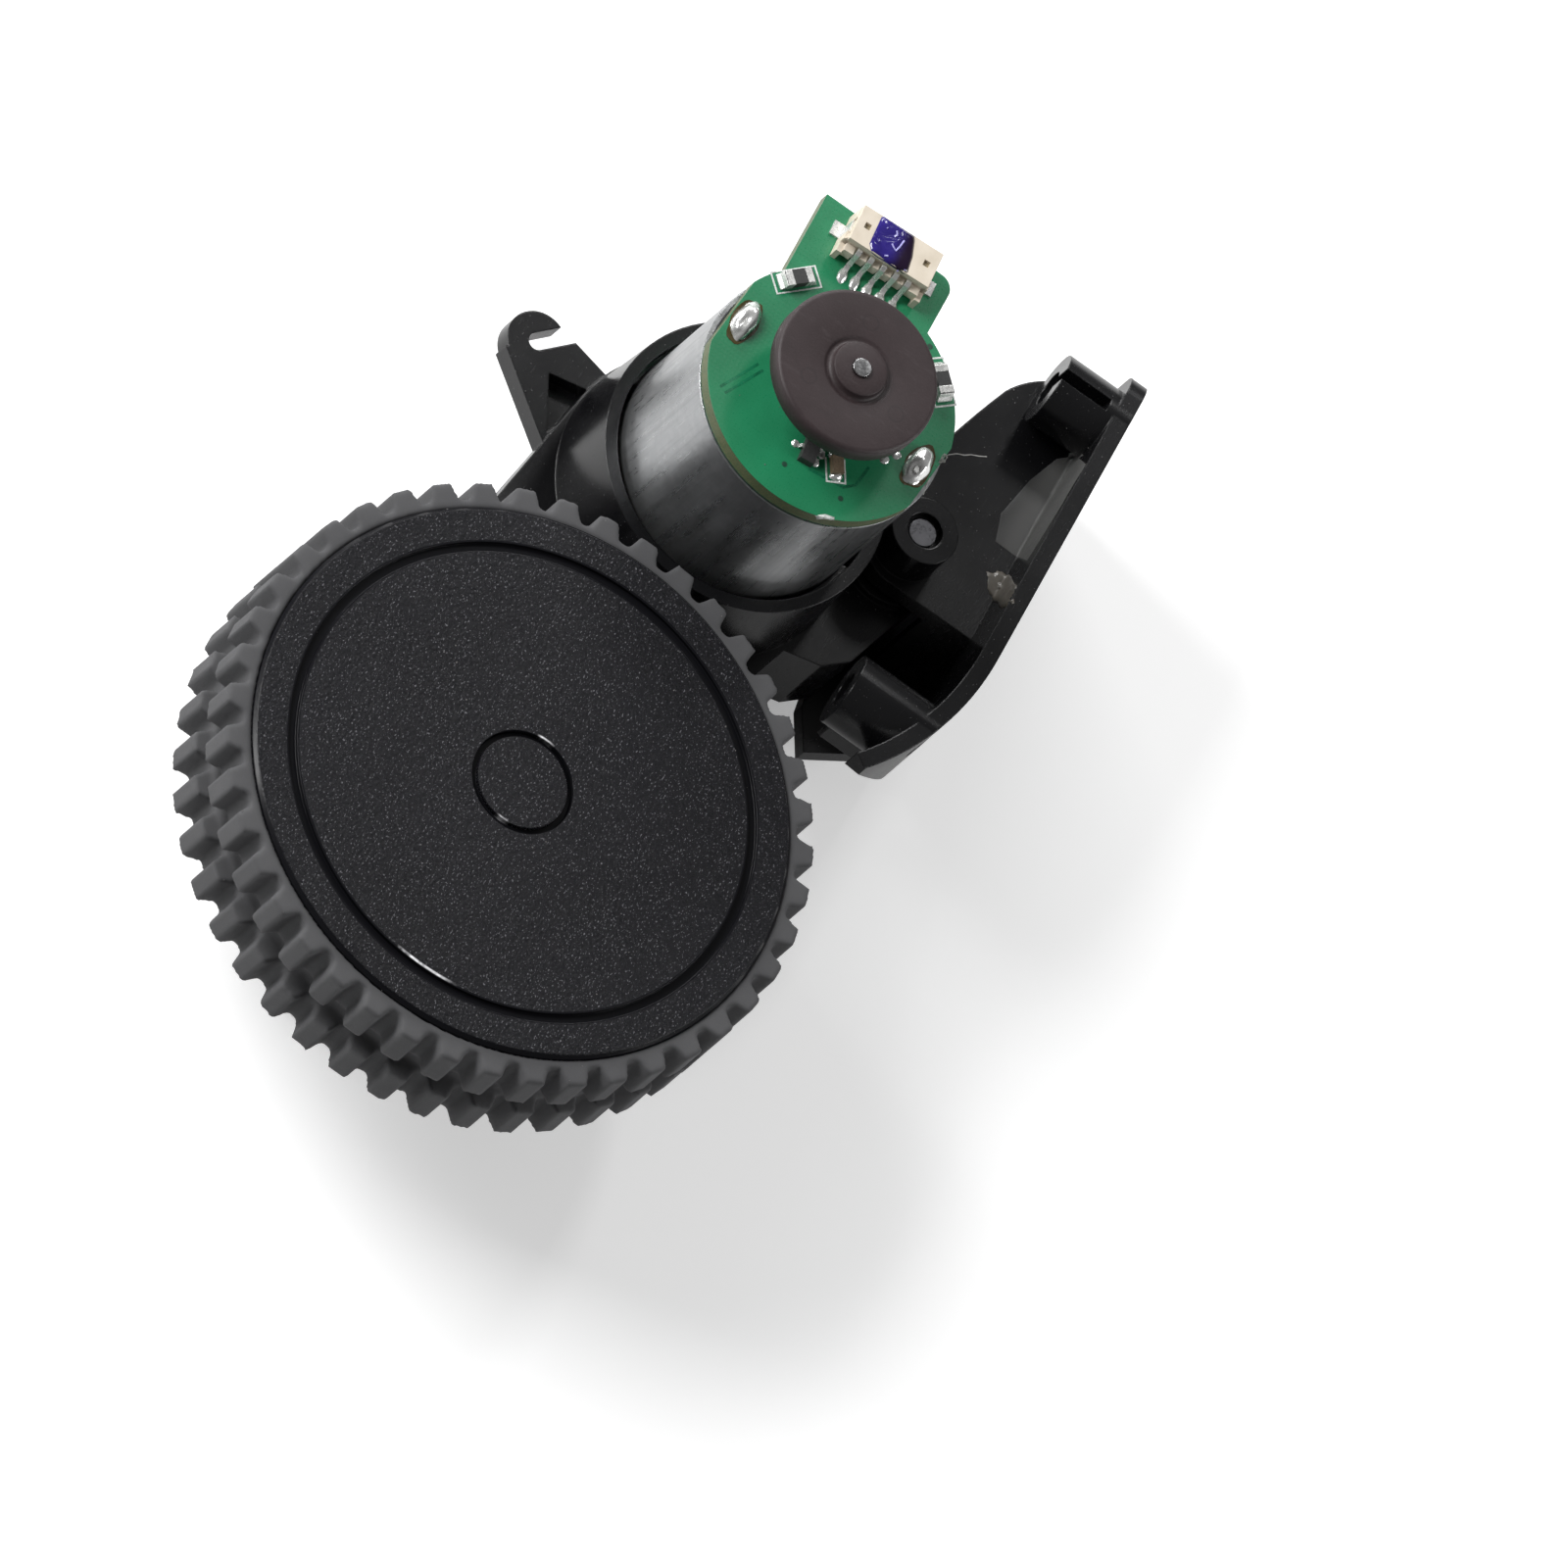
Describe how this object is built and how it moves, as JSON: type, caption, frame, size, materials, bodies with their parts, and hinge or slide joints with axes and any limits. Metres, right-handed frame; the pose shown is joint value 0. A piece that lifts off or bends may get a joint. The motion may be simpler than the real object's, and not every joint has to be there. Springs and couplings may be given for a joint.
{
  "type": "robot vacuum wheel module",
  "caption": "Drive wheel with a treaded tyre, its geared motor with an encoder board, and a swing arm pinned to a screw-on chassis bracket.",
  "frame": {"origin": "midway between the two screw bosses of the bracket, on their axes", "axes": "+Z along the wheel's axle towards its outer face, +X along the bracket's plate away from the wheel, +Y from the plate towards the arm"},
  "size_m": [0.1193, 0.0706, 0.055],
  "materials": {
    "black_gloss": "moulded, glossy black",
    "black_matte": "moulded, satin black",
    "bright_steel": "ground bright",
    "screw_steel": "zinc plated",
    "zinc_steel": "zinc plated, mottled",
    "bush_bronze": "sintered",
    "motor_magnet": "ferrite, matte",
    "carbon": "matte",
    "tinned": "tin plated",
    "solder": "bright",
    "board_green": "solder mask",
    "socket_cream": "moulded cream",
    "chip_black": "matte",
    "capacitor_tan": "satin",
    "core_steel": "laminated steel",
    "copper": "enamelled copper",
    "brass_gear": "cut",
    "bonded_magnet": "plastic-bonded ferrite",
    "gear_white": "moulded acetal",
    "rim_charcoal": "fine spark-eroded texture",
    "tyre_grey": "matte grey rubber"
  },
  "bodies": {
    "bracket": {"pivot_bracket": "black_gloss", "pivot_pin": "bright_steel"},
    "arm": {"gearbox_housing": "black_gloss", "gearbox_cover": "black_matte", "cover_screws": "screw_steel", "gear_pin_1": "bright_steel", "gear_pin_2": "bright_steel", "axle_bush_front": "bush_bronze", "axle_bush_rear": "bush_bronze", "motor_can": "zinc_steel", "motor_magnets": "motor_magnet", "motor_end_cap": "black_matte", "motor_bush_front": "bush_bronze", "motor_bush_rear": "bush_bronze", "motor_brushes": "carbon", "motor_screws": "screw_steel", "motor_terminals": "tinned", "solder_joints": "solder", "encoder_board": "board_green", "socket_housing": "socket_cream", "socket_leads": "tinned", "socket_anchors": "tinned", "ferrite_beads": "chip_black", "hall_sensor": "chip_black", "capacitor": "capacitor_tan"},
    "motor_rotor": {"motor_shaft": "bright_steel", "armature_core": "core_steel", "armature_windings": "copper", "commutator": "copper", "motor_pinion": "brass_gear", "encoder_magnet": "bonded_magnet"},
    "gear_1": {"reduction_gear_1": "gear_white"},
    "gear_2": {"reduction_gear_2": "gear_white"},
    "wheel": {"output_gear": "gear_white", "wheel_axle": "bright_steel", "wheel_rim": "rim_charcoal", "tyre": "tyre_grey", "hub_plug": "rim_charcoal", "wheel_screw": "screw_steel"}
  },
  "joints": [
    {"name": "arm_swing", "type": "hinge", "parent": "bracket", "child": "arm", "pos_m": [-0.001, 0.007, 0], "axis": [0, 0, 1], "range_deg": [0, 20]},
    {"name": "wheel_spin", "type": "hinge", "parent": "arm", "child": "wheel", "pos_m": [-0.05873, 0.0321, 0], "axis": [0, 0, 1], "continuous": true},
    {"name": "gear_2_spin", "type": "hinge", "parent": "arm", "child": "gear_2", "pos_m": [-0.03719, 0.03366, 0], "axis": [0, 0, 1], "continuous": true},
    {"name": "gear_1_spin", "type": "hinge", "parent": "arm", "child": "gear_1", "pos_m": [-0.02177, 0.03129, 0], "axis": [0, 0, 1], "continuous": true},
    {"name": "motor_spin", "type": "hinge", "parent": "arm", "child": "motor_rotor", "pos_m": [-0.009, 0.0269, 0], "axis": [0, 0, 1], "continuous": true}
  ],
  "couplings": [
    {"joint": "gear_1_spin", "follows": "motor_spin", "ratio": -0.22727},
    {"joint": "gear_2_spin", "follows": "motor_spin", "ratio": 0.068182},
    {"joint": "wheel_spin", "follows": "motor_spin", "ratio": -0.019481}
  ]
}
